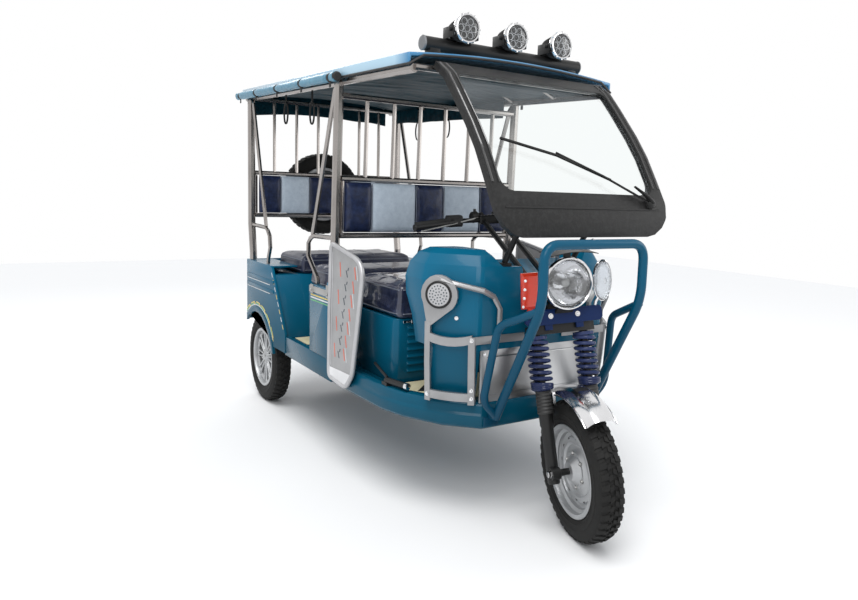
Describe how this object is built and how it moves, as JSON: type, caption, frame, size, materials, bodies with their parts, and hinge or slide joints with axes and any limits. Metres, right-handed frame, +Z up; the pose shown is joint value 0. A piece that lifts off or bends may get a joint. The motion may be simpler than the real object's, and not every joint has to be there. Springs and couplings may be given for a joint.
{
  "type": "electric rickshaw",
  "caption": "Three-wheeled electric passenger rickshaw with an open tube canopy, blue panels, facing benches and a raked windscreen",
  "frame": {"origin": "on the floor under the middle of the object's box", "axes": "+Z up, the front faces -Y, the driver's right is -X"},
  "size_m": [1.0322, 2.6653, 1.8352],
  "materials": {
    "blue": "gloss paint",
    "navy": "gloss paint",
    "black": "satin paint",
    "rubber": "matt",
    "steel": "brushed",
    "chrome": "polished",
    "alloy": "satin",
    "seat": "coated cloth",
    "dark_seat": "coated cloth",
    "glass": "clear",
    "orange": "clear coloured plastic"
  },
  "bodies": {
    "chassis": {"chassis_frame": "black", "rear_axle": "black", "floor_deck": "blue", "passenger_floor": "blue", "rear_panel": "blue", "battery_pack": "black", "leaf_spring_right": "black", "leaf_spring_left": "black", "rear_fender_right": "blue", "rear_fender_left": "blue", "side_panel_right": "blue", "side_panel_left": "blue", "tail_lamp_right": "orange", "tail_lamp_left": "orange", "curtain_roll_right": "blue", "curtain_roll_left": "blue", "cowl_guard_right": "alloy", "cowl_guard_left": "alloy", "side_guard_right": "alloy", "side_guard_left": "alloy", "driver_seat_base": "blue", "driver_seat": "seat", "front_bench_base": "blue", "front_bench_cushion": "dark_seat", "rear_bench_base": "blue", "rear_bench_cushion": "dark_seat", "middle_backrest": "navy", "rear_backrest": "navy", "canopy_frame": "chrome", "middle_grille": "chrome", "rear_grille": "chrome", "roof_panel": "blue", "spare_wheel": "rubber", "windscreen_frame": "black", "windscreen": "glass", "wiper": "black", "lamp_bar": "black", "front_cowl": "blue", "front_panel": "steel", "bumper": "blue", "brake_pedal": "black"},
    "steering": {"fork": "black", "fork_spring_right": "navy", "fork_spring_left": "navy", "yoke_plate": "navy", "headlamp": "chrome", "side_lamp": "glass", "indicator": "orange", "front_mudguard": "chrome", "handlebar": "black", "grip_right": "black", "grip_left": "black"},
    "front_wheel": {"front_tyre": "rubber", "front_rim": "steel"},
    "rear_right_wheel": {"rear_right_tyre": "rubber", "rear_right_rim": "alloy"},
    "rear_left_wheel": {"rear_left_tyre": "rubber", "rear_left_rim": "alloy"}
  },
  "joints": [
    {"name": "steering_turn", "type": "hinge", "parent": "chassis", "child": "steering", "pos_m": [0, -0.90019, 0.764], "axis": [0, 0.2588, 0.9659], "range_deg": [-19, 51]},
    {"name": "front_wheel_spin", "type": "hinge", "parent": "steering", "child": "front_wheel", "pos_m": [-0.01433, -1.09095, 0.24511], "axis": [0.9613, -0.2662, 0.0713], "continuous": true},
    {"name": "rear_right_spin", "type": "hinge", "parent": "chassis", "child": "rear_right_wheel", "pos_m": [-0.42, 0.9921, 0.245], "axis": [1, 0, 0], "continuous": true},
    {"name": "rear_left_spin", "type": "hinge", "parent": "chassis", "child": "rear_left_wheel", "pos_m": [0.42, 0.9921, 0.245], "axis": [1, 0, 0], "continuous": true}
  ]
}
